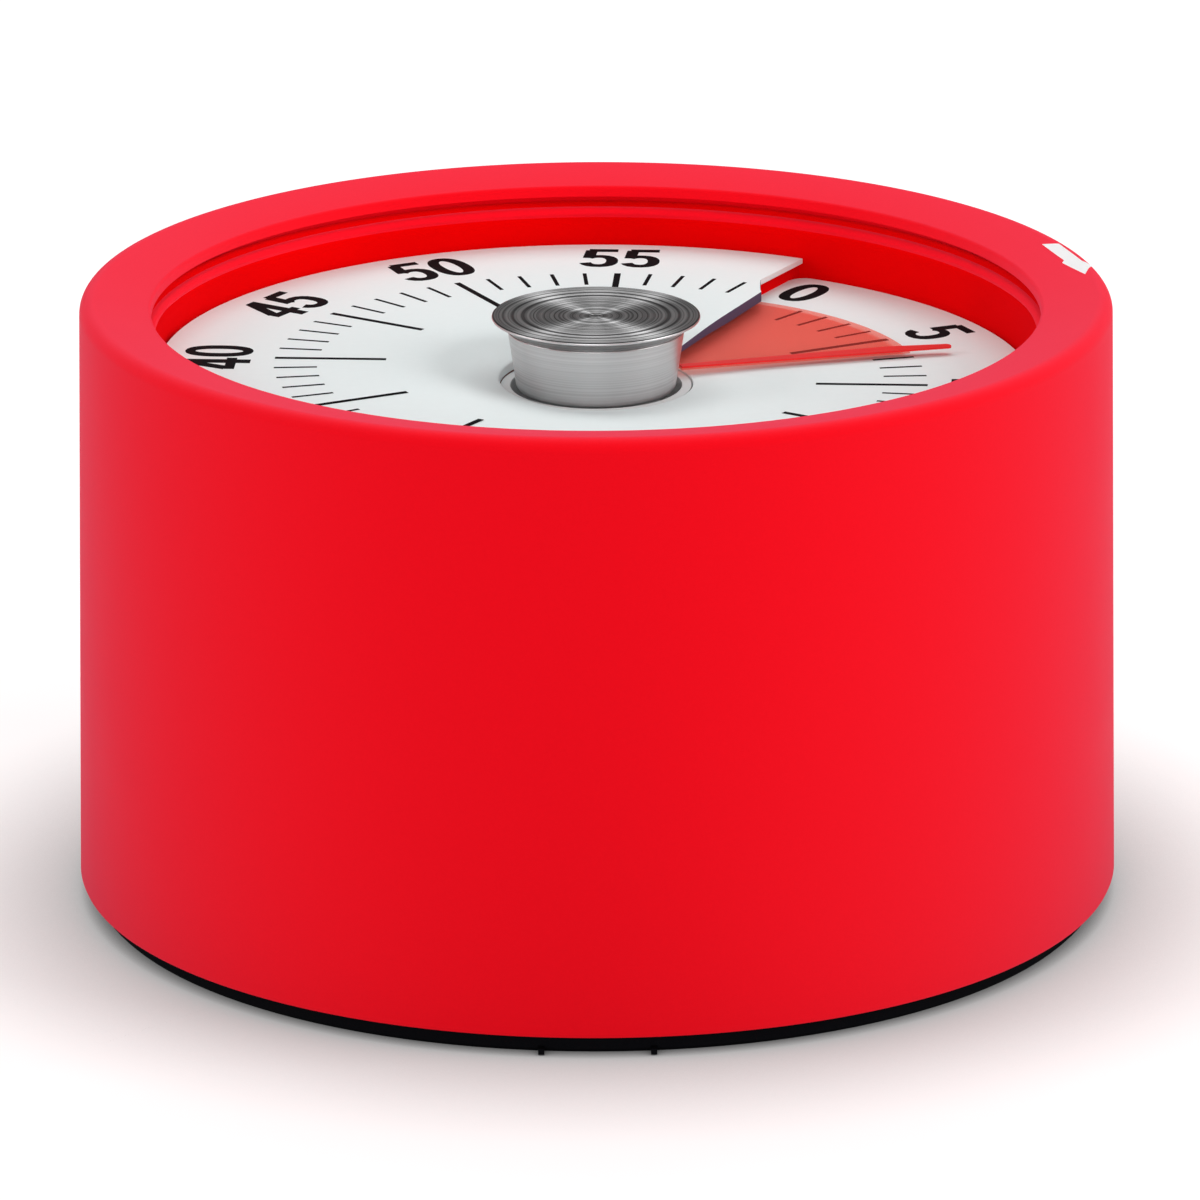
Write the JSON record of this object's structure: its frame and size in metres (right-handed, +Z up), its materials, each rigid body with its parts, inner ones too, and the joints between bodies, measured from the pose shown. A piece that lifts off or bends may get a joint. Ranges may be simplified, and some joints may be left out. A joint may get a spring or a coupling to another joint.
{
  "type": "visual countdown timer",
  "caption": "Round spring-wound countdown timer: a red film comes out of a slit dial as its centre knob is turned, and a bell rings at zero.",
  "frame": {"origin": "centre of the underside, on the surface that the timer rests on", "axes": "+Z up along the knob's axis; +X to the right and +Y away from someone who has the dial's zero 33.7 degrees clockwise of straight ahead, seen from above"},
  "size_m": [0.078, 0.078, 0.046],
  "materials": {
    "shell_red": "satin soft-touch",
    "bezel_red": "satin",
    "dial_white": "printed sheet, satin",
    "base_black": "matte",
    "film_red": "translucent film",
    "pointer_red": "gloss",
    "hub_white": "matte",
    "knob_metal": "spun",
    "core_grey": "matte",
    "plate_steel": "bright",
    "arbor_steel": "turned",
    "spring_steel": "blued",
    "screw_steel": "zinc plated",
    "bell_steel": "nickel plated",
    "wheel_brass": "stamped",
    "lever_steel": "stamped"
  },
  "bodies": {
    "housing": {"outer_shell": "shell_red", "bezel_ring": "bezel_red", "dial_plate": "dial_white", "base_cover": "base_black", "base_screws": "screw_steel", "front_plate": "plate_steel", "rear_plate": "plate_steel", "plate_pillars": "wheel_brass", "pillar_nuts": "screw_steel", "movement_screws": "screw_steel", "spring_stud": "arbor_steel", "mainspring": "spring_steel", "bell_post": "arbor_steel", "bell": "bell_steel", "bell_screw": "screw_steel"},
    "knob_and_arbor": {"knob_cap": "knob_metal", "knob_core": "core_grey", "main_arbor": "arbor_steel", "arbor_clip": "spring_steel", "alarm_cam": "lever_steel", "great_wheel": "wheel_brass", "clutch_spring": "spring_steel"},
    "film": {"film_disc": "film_red", "pointer": "pointer_red", "film_hub": "hub_white"},
    "second_arbor": {"second_wheel": "wheel_brass", "second_pinion": "arbor_steel"},
    "third_arbor": {"third_wheel": "wheel_brass", "third_pinion": "arbor_steel"},
    "escape_arbor": {"escape_wheel": "wheel_brass", "escape_pinion": "arbor_steel"},
    "anchor_set": {"anchor": "lever_steel", "anchor_arbor": "arbor_steel", "balance_bar": "wheel_brass"},
    "hammer_set": {"hammer": "lever_steel", "hammer_arbor": "arbor_steel"},
    "trip_set": {"trip_lever": "lever_steel", "trip_arbor": "arbor_steel"}
  },
  "joints": [
    {"name": "timer_turn", "type": "hinge", "parent": "housing", "child": "knob_and_arbor", "pos_m": [0, 0, 0.03875], "axis": [0, 0, 1], "range_deg": [-318, 42], "deforming": ["mainspring"]},
    {"name": "film_climb", "type": "slide", "parent": "knob_and_arbor", "child": "film", "axis": [0, 0, 1], "range_m": [-0.00026, 0.00195]},
    {"name": "second_turn", "type": "hinge", "parent": "housing", "child": "second_arbor", "pos_m": [0.021, 0, 0.0214], "axis": [0, 0, 1], "range_deg": [-170, 1275]},
    {"name": "third_turn", "type": "hinge", "parent": "housing", "child": "third_arbor", "pos_m": [0.01593, 0.01088, 0.0234], "axis": [0, 0, 1], "range_deg": [-3820, 508]},
    {"name": "escape_turn", "type": "hinge", "parent": "housing", "child": "escape_arbor", "pos_m": [0.00993, 0.02127, 0.0254], "axis": [0, 0, 1], "range_deg": [-1515, 11452]},
    {"name": "anchor_rock", "type": "hinge", "parent": "housing", "child": "anchor_set", "pos_m": [0.0003, 0.02009, 0.0254], "axis": [0, 0, 1], "range_deg": [-3, 3]},
    {"name": "hammer_swing", "type": "hinge", "parent": "housing", "child": "hammer_set", "pos_m": [-0.01598, 0.01598, 0.017], "axis": [0, 0, 1], "range_deg": [-2, 12]},
    {"name": "trip_swing", "type": "hinge", "parent": "housing", "child": "trip_set", "pos_m": [-0.01734, -0.00809, 0.019], "axis": [0, 0, 1], "range_deg": [-10, 3]}
  ],
  "couplings": [
    {"joint": "film_climb", "follows": "timer_turn", "m_per_rad": -0.00035014},
    {"joint": "second_turn", "follows": "timer_turn", "ratio": -4},
    {"joint": "third_turn", "follows": "timer_turn", "ratio": 12},
    {"joint": "escape_turn", "follows": "timer_turn", "ratio": -36}
  ]
}
